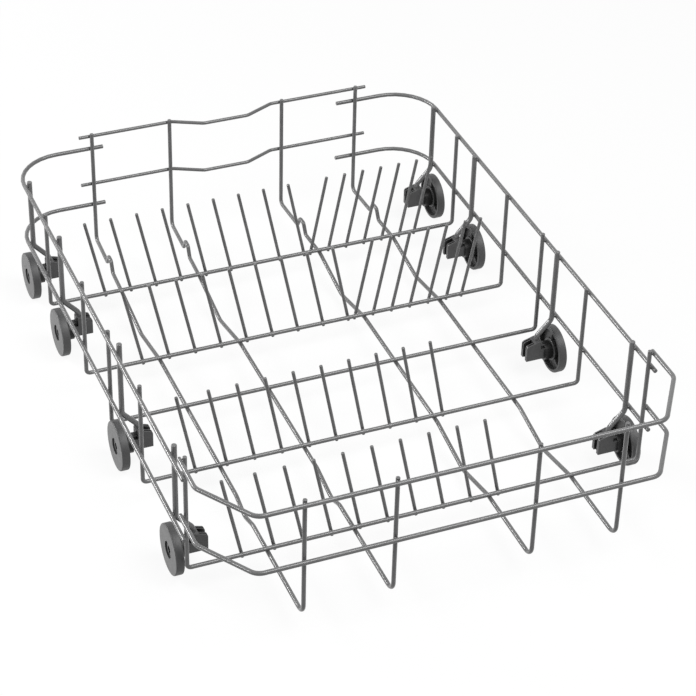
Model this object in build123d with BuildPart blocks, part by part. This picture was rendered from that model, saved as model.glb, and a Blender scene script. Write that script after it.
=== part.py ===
from build123d import *
from math import ceil, radians, tan
import os

# Lower basket of a dishwasher: bent wires welded into a tray, with plate tines,
# that rolls on eight wheels clipped to it. Sizes are in millimetres. X runs to the right
# as seen from the front, Y to the back and Z up. The origin is on the floor,
# under the middle of the basket.

os.makedirs("parts", exist_ok=True)

# Wire diameters
cross_wire = 3.1
runner_wire = 3.0
side_wire = 3.1
back_wire = 2.8
front_wire = 3.4
leg_wire = 4.1
tine_wire = 2.4
wire_sides = 8  # flats round a wire's section
wire_turn = 180 / wire_sides
weld_gap = 0.05  # between the two wires at a weld
chord_turn = 45.0  # most degrees that a chord of a bend turns
chord_length = 12.0  # and its greatest length

# Cross wires: U shapes from side to side, and their distances along the basket
cross_half_width = 173.8
cross_bend = 4.0
rear_cross_tip = 2.4  # above the upper side rail, as are the next five
rear_mid_left_tip = 1.8
rear_mid_right_tip = 4.4
middle_left_tip = 0.8
middle_right_tip = 6.9
front_mid_cross_tip = 4.4
front_cross_tip = 2.8  # above the upper front rail
front_overhang = 69.0
front_bay = 99.1
front_mid_bay = 75.2
rear_mid_bay = 64.6
rear_bay = 97.6
back_overhang = 82.5

# Runners: wires from front to back under the cross wires, upright at both ends
runner_inset = 56.1
runner_spacing = 65.6
runner_shift = 3.0  # the runners stand a little right of the middle
runner_taper = 3.5  # they draw in towards the back
runner_front_tip = 2.8  # above the upper front rail
runner_back_tip = 3.8  # above the upper back rail
runner_front_bend = 9.0
runner_back_bend = 4.5
dip_bend = 25.0
outer_rear_dip = 7.7
inner_rear_dip = 9.9
outer_front_dip = 4.4
inner_front_dip = 6.0
hump_from_back = 44.5
hump_height = 8.8
hump_base = 17.0
hump_top = 7.0
hump_bend = 3.0

# Side rails: along each side, then round the back corner
side_lower_height = 29.5
side_upper_height = 82.6
side_front_end = 5.5
side_back_bend = 36.5
side_back_reach = 75.5

# Back rails: across the back, with a step forward in the middle
back_lower_rise = 19.8  # above the lower side rail
back_upper_rise = 11.4  # above the upper side rail
back_rail_end = 10.0
back_step = 11.3
back_step_outer = 43.0
back_step_inner = 19.0
back_step_bend = 8.0

# Front rails: across the front and slantwise to the front cross wire
front_lower_rise = 16.5  # above the lower side rail
front_upper_rise = 12.4  # above the upper side rail
front_corner_width = 28.0
front_corner_depth = 42.0
front_rail_end = 3.0
front_bend = 10.0

# Legs: wires inside the side rails that bend in and down to the wheel brackets
rear_leg_top = 4.0  # above the upper side rail
front_leg_top = 7.0
leg_inset = 12.1
leg_knee_drop = 2.5
leg_ankle_rise = 2.8  # above the bracket
leg_bend = 6.5
leg_from_front_cross = 24.5
leg_from_middle_cross = 26.4
leg_before_rear_cross = 36.5
leg_before_bend = 0.15  # the rear legs stand where the side rails start to bend

# Tines: leaning pegs behind the cross wires
tine_height = 67.4
tine_foot = 4.0
tine_sides = 6
left_lean = 14.0
front_mid_lean = 13.0
right_lean = 12.6
rear_tine_inset = 45.3
rear_tine_pitch = 21.25
right_tine_inset = 33.0
right_tine_end_pitch = 13.3
right_tine_pitch = 15.85
right_tine_count = 6
tine_group_gap = 6.5  # least room between the left and right groups
front_tine_inset = 40.3
front_tine_end_pitch = 24.0
front_tine_pitch = 21.45
front_tine_count = 9

# Wheels: discs with a ribbed hollow inner side, a hub and a recess for the snap end
wheel_radius = 19.0
wheel_width = 6.4
wheel_sides = 20
wheel_edge = 0.8
wheel_rim = 2.5
wheel_web = 2.8
rib_count = 3
rib_width = 1.6
rib_drop = 0.8  # from the rim's inner face
hub_radius = 9.2
hub_sides = 12
recess_radius = 6.4
recess_depth = 2.6

# Brackets: moulded boxes with a wire socket, a collar and a split snap axle
axle_drop = 1.6
axle_radius = 4.0
axle_clearance = 0.05
thrust_gap = 0.3  # end play between a wheel and its bracket
snap_radius = 5.2
snap_length = 1.3
snap_bore = 2.4
snap_slot = 1.6
snap_slot_depth = 5.0
collar_radius = 7.4
collar_length = 4.7
bracket_inner = 9.5
bracket_outer = 7.2
bracket_width = 10.0
bracket_below = 3.7
bracket_above = 12.4
bracket_slope = 17.0  # degrees that the top falls to the inner end
bracket_wall = 1.2
channel_width = 4.0
grip_wall = 0.8  # beside the channel
slot_depth = 9.0
socket_wall = 1.0
socket_depth = 10.3
notch_width = 4.0
notch_height = 7.0
notch_depth = 2.2

# Heights that the wires share
axle_z = wheel_radius
floor_z = axle_z + axle_drop
side_lower_z = floor_z + side_lower_height
side_upper_z = floor_z + side_upper_height
back_upper_z = side_upper_z + back_upper_rise
front_upper_z = side_upper_z + front_upper_rise
runner_z = floor_z - (cross_wire + runner_wire) / 2 - weld_gap

# Places along the basket
bays = front_overhang + front_bay + front_mid_bay + rear_mid_bay + rear_bay + back_overhang
front_y = -bays / 2
back_y = bays / 2
front_cross_y = front_y + front_overhang
front_mid_cross_y = front_cross_y + front_bay
middle_cross_y = front_mid_cross_y + front_mid_bay
rear_mid_cross_y = middle_cross_y + rear_mid_bay
rear_cross_y = rear_mid_cross_y + rear_bay
side_back_y = back_y + (runner_wire + side_wire) / 2 + weld_gap

# Places across the basket, from the cross wires outwards and inwards
side_x = cross_half_width + (cross_wire + side_wire) / 2 + weld_gap
front_side_x = cross_half_width + (cross_wire + front_wire) / 2 + weld_gap
leg_x = side_x - (side_wire + leg_wire) / 2 - weld_gap
ankle_x = leg_x - leg_inset
wheel_x = ankle_x + bracket_outer + collar_length + thrust_gap
outer_runner_x = cross_half_width - runner_inset
inner_runner_x = outer_runner_x - runner_spacing


def finish(name, piece):
    piece.part.label = name
    export_step(piece.part, f"parts/{name}.step")


def bent_wire(name, diameter, points, bends, flat=(1, 0, 0)):
    corners = [Vector(*point) for point in points]
    route = [corners[0]]
    for before, corner, after, bend in zip(corners, corners[1:], corners[2:], bends):
        coming = (corner - before).normalized()
        going = (after - corner).normalized()
        turn = coming.get_angle(going)
        setback = bend * tan(radians(turn / 2))
        arc = TangentArc(corner - coming * setback, corner + going * setback, tangent=coming)
        chords = ceil(max(turn / chord_turn, arc.length / chord_length))
        route += [arc @ (i / chords) for i in range(chords + 1)]
    route.append(corners[-1])
    with BuildPart() as wire:
        with BuildLine() as path:
            Polyline(*route)
        with BuildSketch(Plane(origin=path.line @ 0, x_dir=flat, z_dir=path.line % 0)):
            RegularPolygon(diameter / 2, wire_sides, major_radius=False, rotation=wire_turn)
        sweep(transition=Transition.RIGHT)
    finish(name, wire)


def cross(name, y, rail_z, left_tip, right_tip):
    points = [
        (-cross_half_width, y, rail_z + left_tip),
        (-cross_half_width, y, floor_z),
        (cross_half_width, y, floor_z),
        (cross_half_width, y, rail_z + right_tip),
    ]
    bent_wire(name, cross_wire, points, 2 * [cross_bend])


def runner(name, x, side, rear_dip, front_dip):
    back_x = x - side * runner_taper
    hump_y = back_y - hump_from_back

    def drawn_in(y, z):
        share = (y - rear_cross_y) / back_overhang
        return (x + (back_x - x) * share, y, z)

    points = [
        (back_x, back_y, back_upper_z + runner_back_tip),
        drawn_in(back_y, runner_z),
        drawn_in(hump_y + hump_base / 2, runner_z),
        drawn_in(hump_y + hump_top / 2, runner_z + hump_height),
        drawn_in(hump_y - hump_top / 2, runner_z + hump_height),
        drawn_in(hump_y - hump_base / 2, runner_z),
        (x, rear_cross_y, runner_z),
        (x, (rear_cross_y + rear_mid_cross_y) / 2, runner_z - rear_dip),
        (x, rear_mid_cross_y, runner_z),
        (x, front_mid_cross_y, runner_z),
        (x, (front_mid_cross_y + front_cross_y) / 2, runner_z - front_dip),
        (x, front_cross_y, runner_z),
        (x, front_y, runner_z),
        (x, front_y, front_upper_z + runner_front_tip),
    ]
    bends = [runner_back_bend] + 4 * [hump_bend] + 6 * [dip_bend] + [runner_front_bend]
    bent_wire(name, runner_wire, points, bends)


def side_rail(name, side, z):
    points = [
        (side * side_x, front_cross_y - side_front_end, z),
        (side * side_x, side_back_y, z),
        (side * (side_x - side_back_reach), side_back_y, z),
    ]
    bent_wire(name, side_wire, points, [side_back_bend], flat=(0, 0, 1))


def back_rail(name, z):
    y = back_y + (runner_wire + back_wire) / 2 + weld_gap
    end = outer_runner_x - runner_taper + back_rail_end
    points = [
        (runner_shift - end, y, z),
        (-back_step_outer, y, z),
        (-back_step_inner, y - back_step, z),
        (back_step_inner, y - back_step, z),
        (back_step_outer, y, z),
        (runner_shift + end, y, z),
    ]
    bent_wire(name, back_wire, points, 4 * [back_step_bend], flat=(0, 0, 1))


def front_rail(name, z):
    y = front_y - (runner_wire + front_wire) / 2 - weld_gap
    side_end = front_cross_y + front_rail_end
    corner_x = front_side_x - front_corner_width
    points = [
        (-front_side_x, side_end, z),
        (-front_side_x, y + front_corner_depth, z),
        (-corner_x, y, z),
        (corner_x, y, z),
        (front_side_x, y + front_corner_depth, z),
        (front_side_x, side_end, z),
    ]
    bent_wire(name, front_wire, points, 4 * [front_bend], flat=(0, 0, 1))


def leg(name, side, y, top):
    points = [
        (side * leg_x, y, side_upper_z + top),
        (side * leg_x, y, side_lower_z - leg_knee_drop),
        (side * ankle_x, y, axle_z + bracket_above + leg_ankle_rise),
        (side * ankle_x, y, axle_z + bracket_above - socket_depth + weld_gap),
    ]
    bent_wire(name, leg_wire, points, 2 * [leg_bend])


def tine_row(name, cross_y, feet, lean):
    y = cross_y + (cross_wire + tine_wire) / 2 + weld_gap
    way = Vector(lean, 0, tine_height)
    drop = lean * tine_foot / tine_height
    length = way.length * (tine_height + tine_foot) / tine_height
    with BuildPart() as row:
        with BuildSketch(Plane.XY.offset(floor_z - tine_foot)):
            with Locations(*[(x - drop, y) for x in feet]):
                RegularPolygon(tine_wire / 2, tine_sides, major_radius=False)
        extrude(amount=length, dir=way)
    finish(name, row)


def wheel(name, side, y):
    inner = Plane(origin=(side * wheel_x, y, axle_z), x_dir=(0, 0, 1), z_dir=(side, 0, 0))
    outer = inner.offset(wheel_width)
    flat = 180 / wheel_sides
    rib_length = wheel_radius - wheel_rim - hub_radius + rib_width
    with BuildPart() as disc:
        with BuildSketch(inner):
            RegularPolygon(wheel_radius, wheel_sides, major_radius=False, rotation=flat)
        extrude(amount=wheel_width)
        chamfer(disc.faces().sort_by(Axis.X)[-1 if side > 0 else 0].edges(), wheel_edge)
        with BuildSketch(inner):
            RegularPolygon(wheel_radius - wheel_rim, wheel_sides, major_radius=False, rotation=flat)
            RegularPolygon(hub_radius, hub_sides, mode=Mode.SUBTRACT)
        extrude(amount=wheel_width - wheel_web, mode=Mode.SUBTRACT)
        with BuildSketch(inner.offset(rib_drop)):
            with PolarLocations(hub_radius - rib_width / 2, rib_count):
                Rectangle(rib_length, rib_width, align=(Align.MIN, Align.CENTER))
        extrude(amount=wheel_width - wheel_web - rib_drop)
        with BuildSketch(outer):
            RegularPolygon(recess_radius, hub_sides)
        extrude(amount=-recess_depth, mode=Mode.SUBTRACT)
        with BuildSketch(inner):
            Circle(axle_radius + axle_clearance)
        extrude(amount=wheel_width, mode=Mode.SUBTRACT)
    finish(name, disc)


def bracket(name, side, y):
    # X points out to the wheel, from the wire socket at axle height
    socket = (side * ankle_x, y, axle_z)
    profile = Plane(origin=socket, x_dir=(side, 0, 0), z_dir=(0, -side, 0))
    top = Plane(origin=socket, x_dir=(side, 0, 0), z_dir=(0, 0, 1)).offset(bracket_above)
    outer_end = (side * (ankle_x + bracket_outer), y, axle_z)
    collar = Plane(origin=outer_end, x_dir=(0, 0, 1), z_dir=(side, 0, 0))
    axle = collar.offset(collar_length)
    snap = axle.offset(thrust_gap + wheel_width - recess_depth + thrust_gap)
    tip = snap.offset(snap_length)
    inner_fall = bracket_inner * tan(radians(bracket_slope))
    channel_end = -leg_wire / 2 - socket_wall
    channel_depth = bracket_above + bracket_below - bracket_wall
    slot_length = channel_end + bracket_inner - bracket_wall
    slot_width = (bracket_width - channel_width) / 2 - bracket_wall - grip_wall
    slot_y = (channel_width + slot_width) / 2 + grip_wall
    slot_x = bracket_wall - bracket_inner
    notch_x = bracket_outer - socket_wall - notch_width / 2
    with BuildPart() as holder:
        with BuildSketch(profile):
            Polygon(
                (-bracket_inner, -bracket_below),
                (bracket_outer, -bracket_below),
                (bracket_outer, bracket_above),
                (0, bracket_above),
                (-bracket_inner, bracket_above - inner_fall),
                align=None,
            )
        extrude(amount=bracket_width / 2, both=True)
        # Channel that is open at its top and inner end, and a slot on each side of it
        with BuildSketch(top):
            with Locations((-bracket_inner, 0)):
                Rectangle(bracket_inner + channel_end, channel_width, align=(Align.MIN, Align.CENTER))
        extrude(amount=-channel_depth, mode=Mode.SUBTRACT)
        with BuildSketch(top):
            with Locations((slot_x, slot_y), (slot_x, -slot_y)):
                Rectangle(slot_length, slot_width, align=(Align.MIN, Align.CENTER))
        extrude(amount=-slot_depth, mode=Mode.SUBTRACT)
        # Socket for the leg, and a notch in the wall on each side of it
        with BuildSketch(top):
            RegularPolygon(leg_wire / 2 + weld_gap, wire_sides, major_radius=False, rotation=wire_turn)
        extrude(amount=-socket_depth, mode=Mode.SUBTRACT)
        with BuildSketch(top):
            with Locations((notch_x, bracket_width / 2), (notch_x, -bracket_width / 2)):
                Rectangle(notch_width, 2 * notch_depth)
        extrude(amount=-notch_height, mode=Mode.SUBTRACT)
        # Collar, axle and split snap end
        with BuildSketch(collar):
            RegularPolygon(collar_radius, hub_sides)
        extrude(amount=collar_length)
        with BuildSketch(axle):
            Circle(axle_radius)
        extrude(amount=2 * thrust_gap + wheel_width - recess_depth)
        with BuildSketch(snap):
            RegularPolygon(snap_radius, hub_sides)
        extrude(amount=snap_length)
        with BuildSketch(tip):
            Rectangle(2 * snap_radius, snap_slot)
            RegularPolygon(snap_bore, hub_sides)
        extrude(amount=-snap_slot_depth, mode=Mode.SUBTRACT)
    finish(name, holder)


cross("cross_wire_front", front_cross_y, front_upper_z, front_cross_tip, front_cross_tip)
cross("cross_wire_front_mid", front_mid_cross_y, side_upper_z, front_mid_cross_tip, front_mid_cross_tip)
cross("cross_wire_middle", middle_cross_y, side_upper_z, middle_left_tip, middle_right_tip)
cross("cross_wire_rear_mid", rear_mid_cross_y, side_upper_z, rear_mid_left_tip, rear_mid_right_tip)
cross("cross_wire_rear", rear_cross_y, side_upper_z, rear_cross_tip, rear_cross_tip)

back_rail("back_rail_lower", side_lower_z + back_lower_rise)
back_rail("back_rail_upper", back_upper_z)
front_rail("front_rail_lower", side_lower_z + front_lower_rise)
front_rail("front_rail_upper", front_upper_z)

wheel_rows = {
    "front": front_cross_y + leg_from_front_cross,
    "front_mid": middle_cross_y - leg_from_middle_cross,
    "rear_mid": rear_cross_y - leg_before_rear_cross,
    "rear": side_back_y - side_back_bend - leg_wire / 2 - leg_before_bend,
}
for side_name, side in {"left": -1, "right": 1}.items():
    outer_x = runner_shift + side * outer_runner_x
    inner_x = runner_shift + side * inner_runner_x
    runner(f"runner_{side_name}_outer", outer_x, side, outer_rear_dip, outer_front_dip)
    runner(f"runner_{side_name}_inner", inner_x, side, inner_rear_dip, inner_front_dip)
    side_rail(f"side_rail_{side_name}_lower", side, side_lower_z)
    side_rail(f"side_rail_{side_name}_upper", side, side_upper_z)
    for row_name, wheel_y in wheel_rows.items():
        leg_top = front_leg_top if row_name.startswith("front") else rear_leg_top
        leg(f"wheel_leg_{side_name}_{row_name}", side, wheel_y, leg_top)
        bracket(f"wheel_bracket_{side_name}_{row_name}", side, wheel_y)
        wheel(f"wheel_{side_name}_{row_name}", side, wheel_y)

right_end = cross_half_width - right_tine_inset
right_feet = [right_end]
for i in range(right_tine_count):
    right_feet.append(right_end - right_tine_end_pitch - i * right_tine_pitch)
rear_start = rear_tine_inset - cross_half_width
rear_room = min(right_feet) - tine_group_gap - rear_start
rear_feet = [rear_start + i * rear_tine_pitch for i in range(int(rear_room / rear_tine_pitch) + 1)]
front_end = front_tine_inset - cross_half_width
front_feet = [front_end]
for i in range(front_tine_count):
    front_feet.append(front_end + front_tine_end_pitch + i * front_tine_pitch)
tine_row("tines_rear_left", rear_cross_y, rear_feet, -left_lean)
tine_row("tines_rear_right", rear_cross_y, right_feet, right_lean)
tine_row("tines_rear_mid_left", rear_mid_cross_y, rear_feet, -left_lean)
tine_row("tines_rear_mid_right", rear_mid_cross_y, right_feet, right_lean)
tine_row("tines_front_mid", front_mid_cross_y, front_feet, -front_mid_lean)
tine_row("tines_front", front_cross_y, front_feet, -left_lean)
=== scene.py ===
import math
import bmesh
import bpy
from mathutils import Matrix, Vector


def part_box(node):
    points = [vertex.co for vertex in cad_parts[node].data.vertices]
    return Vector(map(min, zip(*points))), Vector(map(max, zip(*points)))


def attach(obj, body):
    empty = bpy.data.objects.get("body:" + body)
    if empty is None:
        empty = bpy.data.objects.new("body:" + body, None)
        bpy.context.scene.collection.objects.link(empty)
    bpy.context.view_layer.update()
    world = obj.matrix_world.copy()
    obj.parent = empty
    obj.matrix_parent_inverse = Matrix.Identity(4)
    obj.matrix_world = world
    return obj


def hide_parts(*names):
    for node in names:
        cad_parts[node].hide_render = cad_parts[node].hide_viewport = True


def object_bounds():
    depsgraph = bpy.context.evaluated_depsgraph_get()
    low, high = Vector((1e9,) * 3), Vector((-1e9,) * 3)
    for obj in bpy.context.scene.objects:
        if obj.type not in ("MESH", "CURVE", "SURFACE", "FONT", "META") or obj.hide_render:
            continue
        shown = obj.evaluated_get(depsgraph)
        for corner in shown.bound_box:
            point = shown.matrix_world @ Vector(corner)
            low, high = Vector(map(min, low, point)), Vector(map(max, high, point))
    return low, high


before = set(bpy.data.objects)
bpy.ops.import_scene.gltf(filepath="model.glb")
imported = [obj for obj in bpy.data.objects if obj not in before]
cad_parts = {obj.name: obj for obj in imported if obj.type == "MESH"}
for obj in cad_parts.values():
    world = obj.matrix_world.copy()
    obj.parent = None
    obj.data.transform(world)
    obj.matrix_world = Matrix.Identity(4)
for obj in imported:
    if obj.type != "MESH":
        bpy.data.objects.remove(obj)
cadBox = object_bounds()
print("frame loaded:", len(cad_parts), "nodes")


# Small helpers for selecting and finishing
closeBy = 1e-5  # within this of a place counts as there
nearBy = 1e-4  # a looser one, for round rims
mergeGap = 2e-6
facing = 0.9  # how squarely a picked face looks along an axis


def clearSelection():
    if bpy.context.object and bpy.context.object.mode != "OBJECT":
        bpy.ops.object.mode_set(mode="OBJECT")
    bpy.ops.object.select_all(action="DESELECT")


def makeActive(piece):
    clearSelection()
    piece.select_set(True)
    bpy.context.view_layer.objects.active = piece


def applyPlace(piece, name):
    piece.name = piece.data.name = name
    bpy.ops.object.transform_apply(location=True, rotation=True, scale=True)
    return piece


def selectFaces(piece, wanted):
    mesh = bmesh.from_edit_mesh(piece.data)
    mesh.select_mode = {"FACE"}
    for face in mesh.faces:
        face.select_set(False)
    for face in mesh.faces:
        if wanted(face):
            face.select_set(True)
    mesh.select_flush_mode()
    bmesh.update_edit_mesh(piece.data)


def selectEdges(piece, wanted):
    mesh = bmesh.from_edit_mesh(piece.data)
    mesh.select_mode = {"EDGE"}
    for edge in mesh.edges:
        edge.select_set(False)
    for edge in mesh.edges:
        if wanted(edge):
            edge.select_set(True)
    mesh.select_flush_mode()
    bmesh.update_edit_mesh(piece.data)


def moveBy(offset):
    bpy.ops.transform.translate(value=offset)


def extrudeBy(offset):
    bpy.ops.mesh.extrude_region_move(TRANSFORM_OT_translate={"value": offset})


def applyModifier(piece, kind, **settings):
    modifier = piece.modifiers.new(kind.lower(), kind)
    for key, value in settings.items():
        setattr(modifier, key, value)
    makeActive(piece)
    bpy.ops.object.modifier_apply(modifier=modifier.name)


def combine(piece, other, operation):
    applyModifier(piece, "BOOLEAN", object=other, operation=operation, solver="EXACT")
    makeActive(other)
    bpy.ops.object.delete()


def cleanMesh(piece, smoothAngle):
    makeActive(piece)
    bpy.ops.object.mode_set(mode="EDIT")
    bpy.ops.mesh.select_all(action="SELECT")
    bpy.ops.mesh.remove_doubles(threshold=mergeGap)
    bpy.ops.mesh.normals_make_consistent(inside=False)
    bpy.ops.object.mode_set(mode="OBJECT")
    bpy.ops.object.shade_smooth_by_angle(angle=math.radians(smoothAngle))


def dress(piece, body, slot, material, *nodes):
    if not piece.data.materials:
        piece.data.materials.append(material)
    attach(piece, body)
    if nodes:
        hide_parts(*nodes)


def pieceName(node):
    first, *rest = node.split("_")
    return first + "".join(word.title() for word in rest)


def endHeights(node):
    corners = [vertex.co for vertex in bpy.data.objects[node].data.vertices]
    return max(co.z for co in corners if co.x < 0), max(co.z for co in corners if co.x > 0)


def boxMiddle(node):
    low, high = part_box(node)
    return (low + high) / 2


# Materials: coated wire and moulded plastic share their effects as node groups, among them a painted edge
# highlight and painted shade in hollows
def addNode(tree, kind, x, y, **values):
    node = tree.nodes.new(kind)
    node.location = (x, y)
    for key, value in values.items():
        setattr(node, key, value)
    return node


def newGroup(name, inputs, outputs):
    group = bpy.data.node_groups.new(name, "ShaderNodeTree")
    for title, kind in inputs:
        group.interface.new_socket(title, in_out="INPUT", socket_type=kind)
    for title, kind in outputs:
        group.interface.new_socket(title, in_out="OUTPUT", socket_type=kind)
    return group, addNode(group, "NodeGroupInput", -900, 0), addNode(group, "NodeGroupOutput", 500, 0)


def rangeNode(tree, x, y, fromMin=0.0, fromMax=1.0):
    node = addNode(tree, "ShaderNodeMapRange", x, y)
    node.inputs["From Min"].default_value = fromMin
    node.inputs["From Max"].default_value = fromMax
    return node


def noiseNode(tree, x, y, detail):
    node = addNode(tree, "ShaderNodeTexNoise", x, y)
    node.inputs["Detail"].default_value = detail
    return node


skinRange = {"patchDetail": 3.0, "patch": (0.35, 0.65), "grainDetail": 2.0, "grain": (0.3, 0.7)}
sheenRange = {"detail": 3.0, "breaks": (0.3, 0.6)}
hollowRays = 8


def skinGroup():
    group, given, result = newGroup(
        "surfaceSkin",
        [
            ("Base", "NodeSocketColor"), ("Tint", "NodeSocketColor"),
            ("Patch Scale", "NodeSocketFloat"), ("Grain Scale", "NodeSocketFloat"),
            ("Rough Low", "NodeSocketFloat"), ("Rough High", "NodeSocketFloat"),
        ],
        [("Colour", "NodeSocketColor"), ("Rough", "NodeSocketFloat"), ("Height", "NodeSocketFloat")],
    )
    place = addNode(group, "ShaderNodeTexCoord", -900, 300)
    patch = noiseNode(group, -600, 200, skinRange["patchDetail"])
    grain = noiseNode(group, -600, -200, skinRange["grainDetail"])
    patchShare = rangeNode(group, -350, 200, *skinRange["patch"])
    rough = rangeNode(group, -100, -100, *skinRange["grain"])
    colour = addNode(group, "ShaderNodeMix", 150, 200, data_type="RGBA")
    join = group.links.new
    join(place.outputs["Object"], patch.inputs["Vector"])
    join(place.outputs["Object"], grain.inputs["Vector"])
    join(given.outputs["Patch Scale"], patch.inputs["Scale"])
    join(given.outputs["Grain Scale"], grain.inputs["Scale"])
    join(patch.outputs["Fac"], patchShare.inputs["Value"])
    join(patchShare.outputs["Result"], colour.inputs["Factor"])
    join(given.outputs["Base"], colour.inputs["A"])
    join(given.outputs["Tint"], colour.inputs["B"])
    join(grain.outputs["Fac"], rough.inputs["Value"])
    join(given.outputs["Rough Low"], rough.inputs["To Min"])
    join(given.outputs["Rough High"], rough.inputs["To Max"])
    join(colour.outputs["Result"], result.inputs["Colour"])
    join(rough.outputs["Result"], result.inputs["Rough"])
    join(grain.outputs["Fac"], result.inputs["Height"])
    return group


# Painted highlight: sharp edges, picked out by pointiness, are lightened in patches towards the sheen
# colour.
def edgeGroup():
    group, given, result = newGroup(
        "paintedEdgeSheen",
        [
            ("Colour", "NodeSocketColor"), ("Sheen", "NodeSocketColor"),
            ("Start", "NodeSocketFloat"), ("Full", "NodeSocketFloat"), ("Break Scale", "NodeSocketFloat"),
        ],
        [("Colour", "NodeSocketColor"), ("Mask", "NodeSocketFloat")],
    )
    place = addNode(group, "ShaderNodeTexCoord", -900, 300)
    shape = addNode(group, "ShaderNodeNewGeometry", -900, -300)
    edge = rangeNode(group, -600, -200)
    breaks = noiseNode(group, -600, 200, sheenRange["detail"])
    patchy = rangeNode(group, -350, 200, *sheenRange["breaks"])
    mask = addNode(group, "ShaderNodeMath", -100, 0, operation="MULTIPLY")
    colour = addNode(group, "ShaderNodeMix", 150, 100, data_type="RGBA")
    join = group.links.new
    join(shape.outputs["Pointiness"], edge.inputs["Value"])
    join(given.outputs["Start"], edge.inputs["From Min"])
    join(given.outputs["Full"], edge.inputs["From Max"])
    join(place.outputs["Object"], breaks.inputs["Vector"])
    join(given.outputs["Break Scale"], breaks.inputs["Scale"])
    join(breaks.outputs["Fac"], patchy.inputs["Value"])
    join(edge.outputs["Result"], mask.inputs[0])
    join(patchy.outputs["Result"], mask.inputs[1])
    join(mask.outputs["Value"], colour.inputs["Factor"])
    join(given.outputs["Colour"], colour.inputs["A"])
    join(given.outputs["Sheen"], colour.inputs["B"])
    join(colour.outputs["Result"], result.inputs["Colour"])
    join(mask.outputs["Value"], result.inputs["Mask"])
    return group


# Painted shade: the colour darkens towards the deep colour in recesses, found by ambient occlusion within
# the piece.
def hollowGroup():
    group, given, result = newGroup(
        "hollowShade",
        [
            ("Colour", "NodeSocketColor"), ("Deep", "NodeSocketColor"),
            ("Reach", "NodeSocketFloat"), ("Open", "NodeSocketFloat"), ("Closed", "NodeSocketFloat"),
        ],
        [("Colour", "NodeSocketColor"), ("Mask", "NodeSocketFloat")],
    )
    shut = addNode(group, "ShaderNodeAmbientOcclusion", -600, -100, only_local=True, samples=hollowRays)
    mask = rangeNode(group, -300, -100)
    colour = addNode(group, "ShaderNodeMix", 150, 100, data_type="RGBA")
    join = group.links.new
    join(given.outputs["Reach"], shut.inputs["Distance"])
    join(shut.outputs["AO"], mask.inputs["Value"])
    join(given.outputs["Open"], mask.inputs["From Min"])
    join(given.outputs["Closed"], mask.inputs["From Max"])
    join(mask.outputs["Result"], colour.inputs["Factor"])
    join(given.outputs["Colour"], colour.inputs["A"])
    join(given.outputs["Deep"], colour.inputs["B"])
    join(colour.outputs["Result"], result.inputs["Colour"])
    join(mask.outputs["Result"], result.inputs["Mask"])
    return group


surfaceSkin = skinGroup()
paintedEdgeSheen = edgeGroup()
hollowShade = hollowGroup()


def placeGroup(tree, group, x, y, values):
    node = addNode(tree, "ShaderNodeGroup", x, y, node_tree=group)
    for key, value in values.items():
        node.inputs[key].default_value = value
    return node


def finishMaterial(name, look):
    material = bpy.data.materials.new(name)
    material.use_nodes = True
    tree = material.node_tree
    shader = tree.nodes["Principled BSDF"]
    skin = placeGroup(tree, surfaceSkin, -900, 200, look["skin"])
    rub = placeGroup(tree, paintedEdgeSheen, -600, 200, look["rub"])
    bump = addNode(tree, "ShaderNodeBump", -300, -200)
    bump.inputs["Strength"].default_value = look["bumpStrength"]
    bump.inputs["Distance"].default_value = look["bumpDepth"]
    shader.inputs["Specular IOR Level"].default_value = look["gloss"]
    shader.inputs["Coat Weight"].default_value = look["coat"]
    shader.inputs["Coat Roughness"].default_value = look["coatRough"]
    join = tree.links.new
    # painted edge highlight laid over the skin colour
    join(skin.outputs["Colour"], rub.inputs["Colour"])
    colour = rub.outputs["Colour"]
    # painted shade in the hollows of the plastics
    if "hollow" in look:
        hollow = placeGroup(tree, hollowShade, -300, 200, look["hollow"])
        join(colour, hollow.inputs["Colour"])
        colour = hollow.outputs["Colour"]
    join(colour, shader.inputs["Base Color"])
    join(skin.outputs["Rough"], shader.inputs["Roughness"])
    join(skin.outputs["Height"], bump.inputs["Height"])
    join(bump.outputs["Normal"], shader.inputs["Normal"])
    return material


coatedLook = {
    "skin": {
        "Base": (0.126, 0.126, 0.127, 1), "Tint": (0.152, 0.152, 0.153, 1),
        "Patch Scale": 45.0, "Grain Scale": 650.0, "Rough Low": 0.18, "Rough High": 0.27,
    },
    "rub": {"Sheen": (0.22, 0.22, 0.222, 1), "Start": 0.56, "Full": 0.70, "Break Scale": 220.0},
    "bumpStrength": 0.1, "bumpDepth": 0.0001, "gloss": 0.4, "coat": 0.3, "coatRough": 0.1,
}
# Painted shade: the weld pools are a darker grey than the wire, for the shade in the joints.
shadedPoolLook = {
    "skin": {
        "Base": (0.080, 0.080, 0.081, 1), "Tint": (0.108, 0.108, 0.109, 1),
        "Patch Scale": 90.0, "Grain Scale": 500.0, "Rough Low": 0.22, "Rough High": 0.32,
    },
    "rub": {"Sheen": (0.15, 0.15, 0.152, 1), "Start": 0.58, "Full": 0.75, "Break Scale": 220.0},
    "bumpStrength": 0.15, "bumpDepth": 0.0001, "gloss": 0.4, "coat": 0.3, "coatRough": 0.1,
}
wheelLook = {
    "skin": {
        "Base": (0.042, 0.042, 0.043, 1), "Tint": (0.055, 0.055, 0.056, 1),
        "Patch Scale": 60.0, "Grain Scale": 2600.0, "Rough Low": 0.46, "Rough High": 0.58,
    },
    "rub": {"Sheen": (0.17, 0.17, 0.172, 1), "Start": 0.60, "Full": 0.72, "Break Scale": 300.0},
    "hollow": {"Deep": (0.016, 0.016, 0.016, 1), "Reach": 0.008, "Open": 0.9, "Closed": 0.5},
    "bumpStrength": 0.2, "bumpDepth": 0.00006, "gloss": 0.65, "coat": 0.0, "coatRough": 0.2,
}
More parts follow.
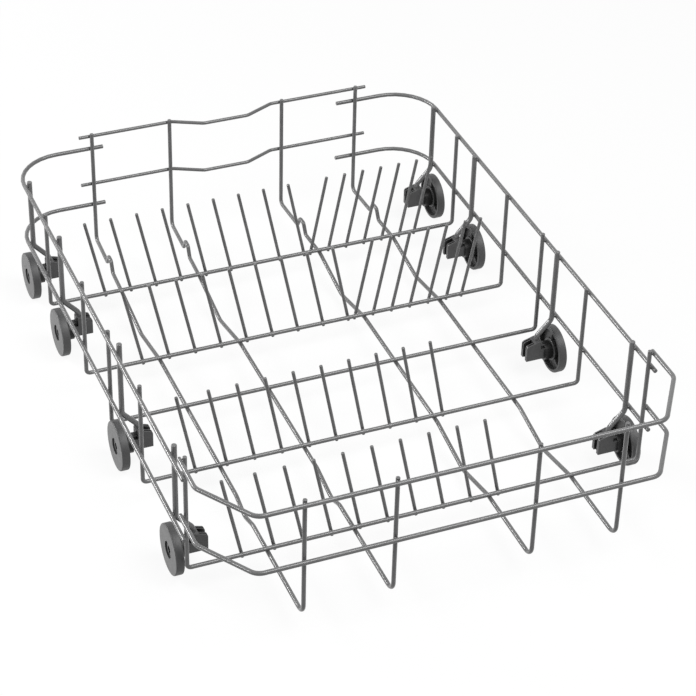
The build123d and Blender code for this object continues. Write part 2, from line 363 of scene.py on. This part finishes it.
# Painted light: the wheels' outer faces get a lighter grey than the rest of the wheel, for the light that
# falls on that side.
litFaceLook = {
    "skin": {
        "Base": (0.088, 0.088, 0.089, 1), "Tint": (0.122, 0.122, 0.123, 1),
        "Patch Scale": 190.0, "Grain Scale": 2600.0, "Rough Low": 0.42, "Rough High": 0.54,
    },
    "rub": {"Sheen": (0.17, 0.17, 0.172, 1), "Start": 0.60, "Full": 0.72, "Break Scale": 300.0},
    "bumpStrength": 0.2, "bumpDepth": 0.00006, "gloss": 0.8, "coat": 0.0, "coatRough": 0.2,
}
bracketLook = {
    "skin": {
        "Base": (0.060, 0.060, 0.061, 1), "Tint": (0.075, 0.075, 0.076, 1),
        "Patch Scale": 110.0, "Grain Scale": 2200.0, "Rough Low": 0.32, "Rough High": 0.44,
    },
    "rub": {"Sheen": (0.20, 0.20, 0.202, 1), "Start": 0.60, "Full": 0.72, "Break Scale": 350.0},
    "hollow": {"Deep": (0.008, 0.008, 0.008, 1), "Reach": 0.006, "Open": 0.85, "Closed": 0.45},
    "bumpStrength": 0.2, "bumpDepth": 0.00006, "gloss": 0.45, "coat": 0.0, "coatRough": 0.2,
}
# A darker grey, given to the collar faces of each bracket.
darkCollarLook = {
    "skin": {
        "Base": (0.018, 0.018, 0.018, 1), "Tint": (0.026, 0.026, 0.026, 1),
        "Patch Scale": 110.0, "Grain Scale": 2200.0, "Rough Low": 0.30, "Rough High": 0.42,
    },
    "rub": {"Sheen": (0.08, 0.08, 0.081, 1), "Start": 0.60, "Full": 0.72, "Break Scale": 350.0},
    "bumpStrength": 0.15, "bumpDepth": 0.00006, "gloss": 0.2, "coat": 0.0, "coatRough": 0.2,
}
coatedWire = finishMaterial("coatedWire", coatedLook)
shadedPoolCoat = finishMaterial("shadedPoolCoat", shadedPoolLook)
wheelPlastic = finishMaterial("wheelPlastic", wheelLook)
wheelFace = finishMaterial("wheelFace", litFaceLook)
bracketPlastic = finishMaterial("bracketPlastic", bracketLook)
darkCollarPlastic = finishMaterial("darkCollarPlastic", darkCollarLook)
print("materials made")

# Wires: a round section pulled along its straight runs and spun round each bend
wireSkin = {"sides": 18, "bendStep": 11.0, "tipRound": 0.25, "tipSegments": 3, "smoothAngle": 40.0}


def drawWire(name, radius, points, bends):
    corners = [Vector(point) for point in points]
    along = (corners[1] - corners[0]).normalized()
    clearSelection()
    bpy.ops.mesh.primitive_circle_add(
        vertices=wireSkin["sides"], radius=radius, fill_type="NGON",
        location=corners[0], rotation=along.to_track_quat("Z", "Y").to_euler(),
    )
    wire = applyPlace(bpy.context.object, name)
    bpy.ops.object.mode_set(mode="EDIT")
    bpy.ops.mesh.select_all(action="SELECT")
    here = corners[0]
    for before, corner, after, bend in zip(corners, corners[1:], corners[2:], bends):
        coming = (corner - before).normalized()
        going = (after - corner).normalized()
        turn = coming.angle(going)
        setback = bend * math.tan(turn / 2)
        start = corner - coming * setback
        centre = start + (going - coming * coming.dot(going)).normalized() * bend
        extrudeBy(start - here)
        steps = max(2, round(math.degrees(turn) / wireSkin["bendStep"]))
        bpy.ops.mesh.spin(steps=steps, angle=turn, center=centre, axis=going.cross(coming).normalized())
        here = corner + going * setback
    extrudeBy(corners[-1] - here)
    bpy.ops.mesh.select_all(action="DESELECT")
    bpy.ops.mesh.select_face_by_sides(number=wireSkin["sides"], type="EQUAL")
    tipRound = radius * wireSkin["tipRound"]
    bpy.ops.mesh.bevel(offset=tipRound, segments=wireSkin["tipSegments"], affect="EDGES")
    cleanMesh(wire, wireSkin["smoothAngle"])
    applyModifier(wire, "WEIGHTED_NORMAL", keep_sharp=True)  # so that the tips don't tilt the long runs
    return wire


def coatWire(node, radius, points, bends, coat=0.0):  # coat lies over the bare wire
    wire = drawWire(pieceName(node), radius + coat, points, bends)
    dress(wire, "basket", "coated_wire", coatedWire, node)


# Cross wires, U shapes from side to side
crossShape = {"diameter": 0.0031, "bend": 0.0031, "coat": 0.00005}
crossNodes = ["cross_wire_" + row for row in ("front", "front_mid", "middle", "rear_mid", "rear")]
crossRadius = crossShape["diameter"] / 2
crossLow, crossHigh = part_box("cross_wire_front")
crossHalf = crossHigh.x - crossRadius
floorHeight = crossLow.z + crossRadius
for node in crossNodes:
    y = boxMiddle(node).y
    leftTop, rightTop = endHeights(node)
    points = [(-crossHalf, y, leftTop), (-crossHalf, y, floorHeight)]
    points += [(crossHalf, y, floorHeight), (crossHalf, y, rightTop)]
    coatWire(node, crossRadius, points, 2 * [crossShape["bend"]], crossShape["coat"])
print("cross wires drawn")

# Runners, from front to back under the cross wires
runnerShape = {
    "diameter": 0.0030, "coat": 0.0001, "weldGap": 0.00005,
    "frontBend": 0.009, "backBend": 0.0045, "dipBend": 0.016,
    "rearDip": {"outer": 0.0077, "inner": 0.0099},
    "frontDips": {  # places are shares of the bay, from its rear cross wire
        "left_outer": {"depth": 0.0054, "start": 0.34, "lowest": 0.52, "end": 0.69},
        "left_inner": {"depth": 0.0058, "start": 0.25, "lowest": 0.55, "end": 0.69},
        "right_outer": {"depth": 0.0086, "start": 0.10, "lowest": 0.52, "end": 0.98},
        "right_inner": {"depth": 0.0092, "start": 0.05, "lowest": 0.53, "end": 0.97},
    },
    "humpFromBack": 0.0445, "humpHeight": 0.0088, "humpBase": 0.017, "humpTop": 0.007, "humpBend": 0.003,
}
runnerRadius = runnerShape["diameter"] / 2
runnerHeight = floorHeight - crossRadius - runnerRadius - runnerShape["weldGap"]
crossY = {node: boxMiddle(node).y for node in crossNodes}
frontCrossY, frontMidY = crossY["cross_wire_front"], crossY["cross_wire_front_mid"]
rearMidY, rearCrossY = crossY["cross_wire_rear_mid"], crossY["cross_wire_rear"]
runnerEnds = {}
for side in ("left", "right"):
    for place in ("outer", "inner"):
        node = f"runner_{side}_{place}"
        low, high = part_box(node)
        x = low.x + runnerRadius if side == "left" else high.x - runnerRadius
        backX = high.x - runnerRadius if side == "left" else low.x + runnerRadius
        frontY, backY = low.y + runnerRadius, high.y - runnerRadius
        runnerEnds[node] = (x, backX, frontY, backY)
        humpY = backY - runnerShape["humpFromBack"]
        humpFoot, humpTop = runnerShape["humpBase"] / 2, runnerShape["humpTop"] / 2
        rise = runnerHeight + runnerShape["humpHeight"]
        rearDip = runnerHeight - runnerShape["rearDip"][place]
        dip = runnerShape["frontDips"][f"{side}_{place}"]
        frontSpan = frontCrossY - frontMidY
        humpWay = [(backY, runnerHeight), (humpY + humpFoot, runnerHeight), (humpY + humpTop, rise)]
        humpWay += [(humpY - humpTop, rise), (humpY - humpFoot, runnerHeight)]
        points = [(backX, backY, high.z)]
        for y, z in humpWay:
            share = (y - rearCrossY) / (backY - rearCrossY)
            points.append((x + (backX - x) * share, y, z))
        points += [(x, rearCrossY, runnerHeight), (x, (rearCrossY + rearMidY) / 2, rearDip)]
        points += [(x, rearMidY, runnerHeight), (x, frontMidY + dip["start"] * frontSpan, runnerHeight)]
        points.append((x, frontMidY + dip["lowest"] * frontSpan, runnerHeight - dip["depth"]))
        points.append((x, frontMidY + dip["end"] * frontSpan, runnerHeight))
        points += [(x, frontY, runnerHeight), (x, frontY, high.z)]
        bends = [runnerShape["backBend"]] + 4 * [runnerShape["humpBend"]]
        bends += 6 * [runnerShape["dipBend"]] + [runnerShape["frontBend"]]
        coatWire(node, runnerRadius, points, bends, runnerShape["coat"])
print("runners drawn")

# Side rails, round the back corners
sideShape = {"diameter": 0.0031, "coat": 0.0001, "backBend": 0.0365}
sideRadius = sideShape["diameter"] / 2
sideHeights = []
for level in ("lower", "upper"):
    sideHeights.append(boxMiddle("side_rail_left_" + level).z)
    for side in ("left", "right"):
        node = f"side_rail_{side}_{level}"
        low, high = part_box(node)
        outX = low.x + sideRadius if side == "left" else high.x - sideRadius
        endX = high.x if side == "left" else low.x
        backSideY = high.y - sideRadius - sideShape["coat"]
        z = (low.z + high.z) / 2
        points = [(outX, low.y, z), (outX, backSideY, z), (endX, backSideY, z)]
        coatWire(node, sideRadius, points, [sideShape["backBend"]], sideShape["coat"])

# Back rails with their step, and front rails with their slanted corners
backShape = {"diameter": 0.0028, "stepOuter": 0.043, "stepInner": 0.019, "stepBend": 0.008}
frontShape = {"diameter": 0.0034, "cornerWidth": 0.028, "cornerDepth": 0.042, "bend": 0.010}
backRadius = backShape["diameter"] / 2
frontRadius = frontShape["diameter"] / 2
backHeights = []
frontHeights = []
for level in ("lower", "upper"):
    node = "back_rail_" + level
    low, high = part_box(node)
    z = (low.z + high.z) / 2
    backHeights.append(z)
    back, step = high.y - backRadius, low.y + backRadius
    outer, inner = backShape["stepOuter"], backShape["stepInner"]
    points = [(low.x, back, z), (-outer, back, z), (-inner, step, z)]
    points += [(inner, step, z), (outer, back, z), (high.x, back, z)]
    coatWire(node, backRadius, points, 4 * [backShape["stepBend"]])

    node = "front_rail_" + level
    low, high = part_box(node)
    z = (low.z + high.z) / 2
    frontHeights.append(z)
    left, right, front = low.x + frontRadius, high.x - frontRadius, low.y + frontRadius
    depth, width = frontShape["cornerDepth"], frontShape["cornerWidth"]
    points = [(left, high.y, z), (left, front + depth, z), (left + width, front, z)]
    points += [(right - width, front, z), (right, front + depth, z), (right, high.y, z)]
    coatWire(node, frontRadius, points, 4 * [frontShape["bend"]])
print("rails drawn")

# Legs, that bend in and down to the wheel brackets
legShape = {"diameter": 0.0041, "kneeDrop": 0.0025, "ankleRise": 0.0028, "bend": 0.0065}
legRadius = legShape["diameter"] / 2
wheelRows = ("front", "front_mid", "rear_mid", "rear")
legPlaces = []
for side, sign in {"left": -1, "right": 1}.items():
    for row in wheelRows:
        node = f"wheel_leg_{side}_{row}"
        low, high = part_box(node)
        y = (low.y + high.y) / 2
        reach = sorted((abs(low.x), abs(high.x)))
        ankleX, legX = sign * (reach[0] + legRadius), sign * (reach[1] - legRadius)
        kneeZ = sideHeights[0] - legShape["kneeDrop"]
        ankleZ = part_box(f"wheel_bracket_{side}_{row}")[1].z + legShape["ankleRise"]
        points = [(legX, y, high.z), (legX, y, kneeZ), (ankleX, y, ankleZ), (ankleX, y, low.z)]
        coatWire(node, legRadius, points, 2 * [legShape["bend"]])
        legPlaces.append((sign * reach[1], y))
print("legs drawn")

# Tines, leaning pegs behind four of the cross wires
tineShape = {"diameter": 0.0024, "coat": 0.0001, "height": 0.0674, "solidSides": 6, "footExtra": 0.0006}
tineRows = {
    "tines_rear_left": {"lean": -0.014, "steps": 8 * [0.02125]},
    "tines_rear_right": {"lean": 0.0126, "steps": 5 * [0.01585] + [0.0133]},
    "tines_rear_mid_left": {"lean": -0.014, "steps": 8 * [0.02125]},
    "tines_rear_mid_right": {"lean": 0.0126, "steps": 5 * [0.01585] + [0.0133]},
    "tines_front_mid": {"lean": -0.013, "steps": [0.024] + 8 * [0.02145]},
    "tines_front": {"lean": -0.014, "steps": [0.024] + 8 * [0.02145]},
}
tineReach = tineShape["diameter"] / 2 / math.cos(math.pi / tineShape["solidSides"])
tineFeet = []
for node, row in tineRows.items():
    low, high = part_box(node)
    y = (low.y + high.y) / 2
    tall = high.z - low.z
    lean = row["lean"] * tall / tineShape["height"]  # the foot leans on below the floor
    footX = low.x + tineReach - min(lean, 0.0)
    footDrop = tineShape["footExtra"]
    footOut = footDrop * lean / tall
    tineRow = drawWire(
        pieceName(node), tineShape["diameter"] / 2 + tineShape["coat"],
        [(footX - footOut, y, low.z - footDrop), (footX + lean, y, high.z)], [],
    )
    bpy.ops.object.mode_set(mode="EDIT")
    bpy.ops.mesh.select_all(action="SELECT")
    footRise = (floorHeight - low.z) / tall * lean
    tineFeet.append((footX + footRise, y))
    for step in row["steps"]:
        bpy.ops.mesh.duplicate_move(TRANSFORM_OT_translate={"value": (step, 0, 0)})
        footX += step
        tineFeet.append((footX + footRise, y))
    bpy.ops.object.mode_set(mode="OBJECT")
    dress(tineRow, "basket", "coated_wire", coatedWire, node)
print("tines drawn:", len(tineFeet))

# Pools of coating in the welds, short spools with a pinched waist, coloured darker than the wire as painted
# shade in the joints
poolShape = {
    "radius": 0.00145, "depth": 0.00085, "sides": 12, "cuts": 3, "waist": 0.90,
    "rimCut": 0.0003, "rimSegments": 2, "smoothAngle": 60.0,
}


def modelPool(name, turn):
    clearSelection()
    bpy.ops.mesh.primitive_cylinder_add(
        vertices=poolShape["sides"], radius=poolShape["radius"], depth=2 * poolShape["depth"], rotation=turn,
    )
    pool = bpy.context.object
    pool.name = pool.data.name = name
    bpy.ops.object.mode_set(mode="EDIT")
    selectEdges(pool, lambda edge: edge.verts[0].co.z * edge.verts[1].co.z < 0)
    bpy.ops.mesh.subdivide(number_cuts=poolShape["cuts"])
    selectEdges(pool, lambda edge: all(abs(v.co.z) < closeBy for v in edge.verts))
    bpy.ops.transform.resize(value=3 * [poolShape["waist"]])
    selectFaces(pool, lambda face: abs(face.normal.z) > facing)
    bpy.ops.mesh.bevel(offset=poolShape["rimCut"], segments=poolShape["rimSegments"], affect="EDGES")
    bpy.ops.object.mode_set(mode="OBJECT")
    bpy.ops.object.transform_apply(location=False, rotation=True, scale=False)
    return pool


def poolWelds(name, places, turn):
    pools = modelPool(name, turn)
    pools.location = places[0]
    bpy.ops.object.transform_apply(location=True, rotation=False, scale=False)
    bpy.ops.object.mode_set(mode="EDIT")
    bpy.ops.mesh.select_all(action="SELECT")
    for before, after in zip(places, places[1:]):
        offset = Vector(after) - Vector(before)
        bpy.ops.mesh.duplicate_move(TRANSFORM_OT_translate={"value": offset})
    cleanMesh(pools, poolShape["smoothAngle"])
    dress(pools, "basket", "coated_wire", shadedPoolCoat)


crossSide = crossHalf + crossRadius
floorPools = []
for x, backX, frontY, backY in runnerEnds.values():
    floorPools += [(x, y, floorHeight - crossRadius) for y in crossY.values()]
sidePools = []
for sign in (-1, 1):
    for z in sideHeights:
        sidePools += [(sign * crossSide, y, z) for y in crossY.values()]
    sidePools += [(sign * crossSide, frontCrossY, z) for z in frontHeights]
for z in sideHeights:
    sidePools += [(x, y, z) for x, y in legPlaces]
endPools = []
for node, (x, backX, frontY, backY) in runnerEnds.items():
    endPools += [(x, frontY - runnerRadius, z) for z in frontHeights]
    backZ = backHeights + (sideHeights if "outer" in node else [])
    endPools += [(backX, backY + runnerRadius, z) for z in backZ]
tinePools = [(x, y - tineShape["diameter"] / 2, floorHeight) for x, y in tineFeet]
poolWelds("floorPools", floorPools, (0, 0, 0))
poolWelds("sidePools", sidePools, (0, math.pi / 2, 0))
poolWelds("endPools", endPools, (math.pi / 2, 0, 0))
poolWelds("tinePools", tinePools, (math.pi / 2, 0, 0))
print("weld pools:", len(floorPools) + len(sidePools) + len(endPools) + len(tinePools))


# Wheels and brackets are each modelled once at the origin, with X pointing out
def addDisc(name, radius, innerX, outerX, sides):
    clearSelection()
    bpy.ops.mesh.primitive_cylinder_add(
        vertices=sides, radius=radius, depth=outerX - innerX, end_fill_type="NGON",
        location=((innerX + outerX) / 2, 0, 0), rotation=(0, math.pi / 2, 0),
    )
    return applyPlace(bpy.context.object, name)


def addBlock(name, low, high):
    low, high = Vector(low), Vector(high)
    clearSelection()
    bpy.ops.mesh.primitive_cube_add(size=1.0, location=(low + high) / 2, scale=high - low)
    return applyPlace(bpy.context.object, name)


def lowerTop(block, x, fall):
    makeActive(block)
    bpy.ops.object.mode_set(mode="EDIT")
    top = max(vertex.co.z for vertex in block.data.vertices)

    def topEdge(edge):
        return all(abs(v.co.x - x) < closeBy and v.co.z > top - closeBy for v in edge.verts)

    selectEdges(block, topEdge)
    moveBy((0, 0, -fall))
    bpy.ops.object.mode_set(mode="OBJECT")


mouldedSkin = {"edgeSegments": 2, "smoothAngle": 50.0}


def softenEdges(piece, width, limit):
    applyModifier(
        piece, "BEVEL", width=width, segments=mouldedSkin["edgeSegments"], limit_method="ANGLE",
        angle_limit=math.radians(limit), miter_outer="MITER_ARC",
    )
    cleanMesh(piece, mouldedSkin["smoothAngle"])
    applyModifier(piece, "WEIGHTED_NORMAL", keep_sharp=True)


def copyTo(model, name, side, place):
    makeActive(model)
    bpy.ops.object.duplicate()
    piece = bpy.context.object
    if side == "left":
        piece.rotation_euler.z = math.pi
    piece.location = place
    return applyPlace(piece, name)


wheelShape = {
    "sides": 72, "edgeRound": 0.0008, "roundSegments": 3, "rim": 0.0025, "web": 0.0028,
    "ribs": 3, "ribWidth": 0.0016, "ribDrop": 0.0008, "hubRadius": 0.0092, "hubRound": 0.0006,
    "recessRadius": 0.0064, "recessDepth": 0.0026, "boreRadius": 0.00405,
    "softEdge": 0.0003, "softLimit": 60.0,
}


def modelWheel():
    low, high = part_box("wheel_right_front")
    radius, width = (high.z - low.z) / 2, high.x - low.x
    hollow = width - wheelShape["web"]
    hollowRadius = radius - wheelShape["rim"]
    sides, roundSegments = wheelShape["sides"], wheelShape["roundSegments"]

    def outerFace(face):
        return face.normal.x > facing and abs(face.calc_center_median().x - width / 2) < closeBy

    def rimEdge(edge):
        atEnds = all(abs(abs(v.co.x) - width / 2) < closeBy for v in edge.verts)
        return atEnds and all(v.co.yz.length > radius - closeBy for v in edge.verts)

    def hubEdge(edge):
        atEnd = all(v.co.x < closeBy - width / 2 for v in edge.verts)
        return atEnd and all(abs(v.co.yz.length - wheelShape["hubRadius"]) < nearBy for v in edge.verts)

    wheel = addDisc("wheelModel", radius, -width / 2, width / 2, sides)
    bpy.ops.object.mode_set(mode="EDIT")
    selectFaces(wheel, lambda face: face.normal.x < -facing)  # inner side: rim, hollow and hub
    bpy.ops.mesh.inset(thickness=wheelShape["rim"])
    extrudeBy((hollow, 0, 0))
    bpy.ops.mesh.inset(thickness=hollowRadius - wheelShape["hubRadius"])
    extrudeBy((-hollow, 0, 0))
    bpy.ops.mesh.inset(thickness=wheelShape["hubRadius"] - wheelShape["boreRadius"])
    selectFaces(wheel, outerFace)
    bpy.ops.mesh.inset(thickness=radius - wheelShape["recessRadius"])
    extrudeBy((-wheelShape["recessDepth"], 0, 0))
    bpy.ops.mesh.inset(thickness=wheelShape["recessRadius"] - wheelShape["boreRadius"])
    selectFaces(wheel, lambda face: len(face.verts) == sides)  # the two ends of the bore
    bpy.ops.mesh.bridge_edge_loops()
    selectEdges(wheel, rimEdge)
    bpy.ops.mesh.bevel(offset=wheelShape["edgeRound"], segments=roundSegments, affect="EDGES")
    selectEdges(wheel, hubEdge)
    bpy.ops.mesh.bevel(offset=wheelShape["hubRound"], segments=roundSegments, affect="EDGES")
    bpy.ops.object.mode_set(mode="OBJECT")
    half = wheelShape["ribWidth"] / 2
    for i in range(wheelShape["ribs"]):
        rib = addBlock(
            "rib", (-width / 2 + wheelShape["ribDrop"], -half, wheelShape["hubRadius"] - half),
            (width / 2 - wheelShape["web"] / 2, half, hollowRadius + half),
        )
        rib.rotation_euler.x = math.tau * i / wheelShape["ribs"]
        applyPlace(rib, "rib")
        combine(wheel, rib, "UNION")
    softenEdges(wheel, wheelShape["softEdge"], wheelShape["softLimit"])
    wheel.data.materials.append(wheelPlastic)
    wheel.data.materials.append(wheelFace)
    # painted light: the flat outer face takes the lighter grey
    for face in wheel.data.polygons:
        onLitFace = face.normal.x > facing and face.center.x > width / 2 - nearBy
        face.material_index = 1 if onLitFace else 0
    return wheel


bracketShape = {
    "inner": 0.0095, "outer": 0.0072, "width": 0.010, "below": 0.0037, "above": 0.0124, "slope": 17.0,
    "wall": 0.0012, "channelWidth": 0.0040, "gripWall": 0.0008, "slotDepth": 0.0090, "floorCut": 0.0016,
    "socketRadius": 0.0021, "socketWall": 0.0010, "socketDepth": 0.0103, "socketSides": 32,
    "notchWidth": 0.0040, "notchHeight": 0.0070, "notchDepth": 0.0022, "stepDrop": 0.0002,
    "cornerRound": 0.0016, "cornerSegments": 4, "collarRadius": 0.0074, "collarLength": 0.0047,
    "axleRadius": 0.0040, "axleLength": 0.0044, "axleSides": 48, "snapRadius": 0.0052, "snapLength": 0.0013,
    "snapBore": 0.0024, "snapBoreSides": 24, "snapSlot": 0.0016, "snapSlotDepth": 0.0050,
    "softEdge": 0.00025, "softLimit": 40.0, "spare": 0.001,
}


def modelBracket():
    shape = bracketShape
    inner, outer, half = shape["inner"], shape["outer"], shape["width"] / 2
    above, below, wall = shape["above"], shape["below"], shape["wall"]
    fallRate = math.tan(math.radians(shape["slope"]))
    spare = shape["spare"]  # how far a cutter stands out of what it cuts
    axleSides = shape["axleSides"]
    body = addBlock("bracketModel", (-inner, -half, -below), (outer, half, above))
    bpy.ops.object.mode_set(mode="EDIT")
    bpy.ops.mesh.select_all(action="SELECT")
    bpy.ops.mesh.bisect(plane_co=(0, 0, 0), plane_no=(1, 0, 0))
    bpy.ops.object.mode_set(mode="OBJECT")
    lowerTop(body, -inner, inner * fallRate)
    makeActive(body)
    bpy.ops.object.mode_set(mode="EDIT")
    selectEdges(body, lambda edge: all(v.co.x < closeBy - inner and v.co.z > 0 for v in edge.verts))
    bpy.ops.mesh.bevel(offset=shape["cornerRound"], segments=shape["cornerSegments"], affect="EDGES")
    bpy.ops.object.mode_set(mode="OBJECT")
    channelEnd = -shape["socketRadius"] - shape["socketWall"]
    channelHalf = shape["channelWidth"] / 2
    channel = addBlock(
        "channel", (-inner - spare, -channelHalf, wall - below), (channelEnd, channelHalf, above + spare),
    )
    combine(body, channel, "DIFFERENCE")
    floorEnd = shape["floorCut"] - inner
    floorCut = addBlock(
        "floorCut", (-inner - spare, -channelHalf, -below - spare), (floorEnd, channelHalf, 0),
    )
    combine(body, floorCut, "DIFFERENCE")
    slotWidth = half - channelHalf - wall - shape["gripWall"]
    for sign in (-1, 1):
        slotY = sign * (channelHalf + shape["gripWall"] + slotWidth / 2)
        slotStart = wall - inner if sign < 0 else -inner - spare  # one slot is open at its end
        slot = addBlock(
            "slot", (slotStart, slotY - slotWidth / 2, above - shape["slotDepth"]),
            (channelEnd, slotY + slotWidth / 2, above + spare),
        )
        combine(body, slot, "DIFFERENCE")
        notchX = outer - shape["socketWall"] - shape["notchWidth"]
        notch = addBlock(
            "notch", (notchX, sign * half - shape["notchDepth"], above - shape["notchHeight"]),
            (outer + spare, sign * half + shape["notchDepth"], above + spare),
        )
        combine(body, notch, "DIFFERENCE")
    step = addBlock(
        "step", (-channelEnd, -half - spare, shape["collarRadius"] - shape["stepDrop"]),
        (outer + spare, half + spare, above + spare),
    )
    combine(body, step, "DIFFERENCE")
    clearSelection()
    bpy.ops.mesh.primitive_cylinder_add(
        vertices=shape["socketSides"], radius=shape["socketRadius"], depth=shape["socketDepth"] + spare,
        location=(0, 0, above - (shape["socketDepth"] - spare) / 2),
    )
    combine(body, applyPlace(bpy.context.object, "socket"), "DIFFERENCE")
    collarEnd = outer + shape["collarLength"]
    axleEnd = collarEnd + shape["axleLength"]
    snapEnd = axleEnd + shape["snapLength"]
    combine(body, addDisc("collar", shape["collarRadius"], outer - wall, collarEnd, axleSides), "UNION")
    axle = addDisc("axle", shape["axleRadius"], collarEnd - wall, snapEnd, axleSides)
    snap = addDisc("snap", shape["snapRadius"], axleEnd, snapEnd, axleSides)
    combine(axle, snap, "UNION")
    slotHalf = shape["snapSlot"] / 2
    split = addBlock(
        "split", (snapEnd - shape["snapSlotDepth"], -slotHalf, -2 * shape["snapRadius"]),
        (snapEnd + spare, slotHalf, 2 * shape["snapRadius"]),
    )
    combine(axle, split, "DIFFERENCE")
    boreStart = snapEnd - shape["snapSlotDepth"]
    bore = addDisc("snapBore", shape["snapBore"], boreStart, snapEnd + spare, shape["snapBoreSides"])
    combine(axle, bore, "DIFFERENCE")
    combine(body, axle, "UNION")
    softenEdges(body, shape["softEdge"], shape["softLimit"])
    body.data.materials.clear()
    body.data.materials.append(bracketPlastic)
    body.data.materials.append(darkCollarPlastic)
    # the collar faces take the darker grey
    for face in body.data.polygons:
        onCollar = outer + shape["softEdge"] < face.center.x < collarEnd + shape["softEdge"]
        face.material_index = 1 if onCollar else 0
    return body


wheelModel = modelWheel()
bracketModel = modelBracket()
for side in ("left", "right"):
    for row in wheelRows:
        node = f"wheel_{side}_{row}"
        wheel = copyTo(wheelModel, pieceName(node), side, boxMiddle(node))
        dress(wheel, f"{side}_{row}_wheel", "wheel_plastic", wheelPlastic, node)
        axleHeight = boxMiddle(node).z
        node = f"wheel_bracket_{side}_{row}"
        low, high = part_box(node)
        innerEnd = high.x if side == "left" else low.x
        socketX = innerEnd + (bracketShape["inner"] if side == "right" else -bracketShape["inner"])
        bracket = copyTo(bracketModel, pieceName(node), side, (socketX, boxMiddle(node).y, axleHeight))
        dress(bracket, "basket", "bracket_plastic", bracketPlastic, node)
for model in (wheelModel, bracketModel):
    makeActive(model)
    bpy.ops.object.delete()
print("wheels and brackets modelled")


# Floor, light and camera
def seenDirectly(tree):
    path = addNode(tree, "ShaderNodeLightPath", -600, 300)
    seen = addNode(tree, "ShaderNodeMath", -350, 300, operation="MAXIMUM")
    tree.links.new(path.outputs["Is Camera Ray"], seen.inputs[0])
    tree.links.new(path.outputs["Is Glossy Ray"], seen.inputs[1])
    through = addNode(tree, "ShaderNodeMath", -150, 300, operation="MAXIMUM")
    tree.links.new(seen.outputs["Value"], through.inputs[0])
    tree.links.new(path.outputs["Is Transmission Ray"], through.inputs[1])
    return through.outputs["Value"]


stageShape = {
    "floorSize": 12.0, "pale": (0.90, 0.90, 0.90, 1), "bounce": (0.36, 0.36, 0.36, 1), "whiteShare": 0.90,
    "rough": 0.9, "gloss": 0.0,
}
clearSelection()
bpy.ops.mesh.primitive_plane_add(size=stageShape["floorSize"], location=(0, 0, cadBox[0].z))
floor = applyPlace(bpy.context.object, "studioFloor")
paleFloor = bpy.data.materials.new("paleFloor")
paleFloor.use_nodes = True
tree = paleFloor.node_tree
diffuse = tree.nodes["Principled BSDF"]
diffuse.inputs["Roughness"].default_value = stageShape["rough"]
diffuse.inputs["Specular IOR Level"].default_value = stageShape["gloss"]
seen = seenDirectly(tree)
floorColour = addNode(tree, "ShaderNodeMix", -100, 100, data_type="RGBA")
floorColour.inputs["A"].default_value = stageShape["bounce"]
floorColour.inputs["B"].default_value = stageShape["pale"]
glow = addNode(tree, "ShaderNodeEmission", 0, -200)
share = addNode(tree, "ShaderNodeMath", 0, 300, operation="MULTIPLY")
share.inputs[1].default_value = stageShape["whiteShare"]
blend = addNode(tree, "ShaderNodeMixShader", 350, 0)
tree.links.new(seen, floorColour.inputs["Factor"])
tree.links.new(floorColour.outputs["Result"], diffuse.inputs["Base Color"])
tree.links.new(seen, share.inputs[0])
tree.links.new(share.outputs["Value"], blend.inputs["Fac"])
tree.links.new(diffuse.outputs["BSDF"], blend.inputs[1])
tree.links.new(glow.outputs["Emission"], blend.inputs[2])
tree.links.new(blend.outputs["Shader"], tree.nodes["Material Output"].inputs["Surface"])
floor.data.materials.append(paleFloor)

worldLook = {"ambient": (1.0, 1.0, 1.0, 1), "ambientStrength": 0.06, "white": (1.0, 1.0, 1.0, 1)}
world = bpy.data.worlds.new("studioWorld")
bpy.context.scene.world = world
world.use_nodes = True
tree = world.node_tree
ambient = tree.nodes["Background"]
ambient.inputs["Color"].default_value = worldLook["ambient"]
ambient.inputs["Strength"].default_value = worldLook["ambientStrength"]
white = addNode(tree, "ShaderNodeBackground", 0, -200)
white.inputs["Color"].default_value = worldLook["white"]
blend = addNode(tree, "ShaderNodeMixShader", 250, 0)
tree.links.new(seenDirectly(tree), blend.inputs["Fac"])
tree.links.new(ambient.outputs["Background"], blend.inputs[1])
tree.links.new(white.outputs["Background"], blend.inputs[2])
tree.links.new(blend.outputs["Shader"], tree.nodes["World Output"].inputs["Surface"])

lamps = {
    "topSoftbox": {"place": (0.5, -0.75, 1.65), "aim": (0, 0, 0.05), "size": (1.3, 1.1), "power": 30.0},
    "leftSoftbox": {
        "place": (-1.78, -0.29, 1.1), "aim": (-0.1, -0.1, 0.1), "size": (0.5, 0.4), "power": 10.0,
    },
    "backSoftbox": {"place": (-1.41, 1.12, 0.87), "aim": (-0.1, 0, 0.1), "size": (1.07, 0.4), "power": 31.0},
}
for name, lamp in lamps.items():
    light = bpy.data.lights.new(name, "AREA")
    light.shape = "RECTANGLE"
    light.size, light.size_y = lamp["size"]
    light.energy = lamp["power"]
    holder = bpy.data.objects.new(name, light)
    bpy.context.collection.objects.link(holder)
    holder.location = lamp["place"]
    toAim = Vector(lamp["aim"]) - holder.location
    holder.rotation_euler = toAim.to_track_quat("-Z", "Y").to_euler()

cameraShape = {
    "place": (-0.55292, -1.35607, 1.10835), "azimuth": -22.717, "elevation": 35.980, "roll": 1.550,
    "lens": 123.32, "sensor": 36.0,
}
cameraData = bpy.data.cameras.new("photoCamera")
cameraData.lens = cameraShape["lens"]
cameraData.sensor_width = cameraShape["sensor"]
camera = bpy.data.objects.new("photoCamera", cameraData)
bpy.context.collection.objects.link(camera)
turned = Matrix.Rotation(math.radians(cameraShape["azimuth"]), 4, "Z")
turned @= Matrix.Rotation(math.radians(90 - cameraShape["elevation"]), 4, "X")
turned @= Matrix.Rotation(math.radians(cameraShape["roll"]), 4, "Z")
camera.matrix_world = Matrix.Translation(cameraShape["place"]) @ turned
bpy.context.scene.camera = camera
bpy.context.scene.view_settings.view_transform = "Standard"
print("floor, light and camera set")

print("scene done")
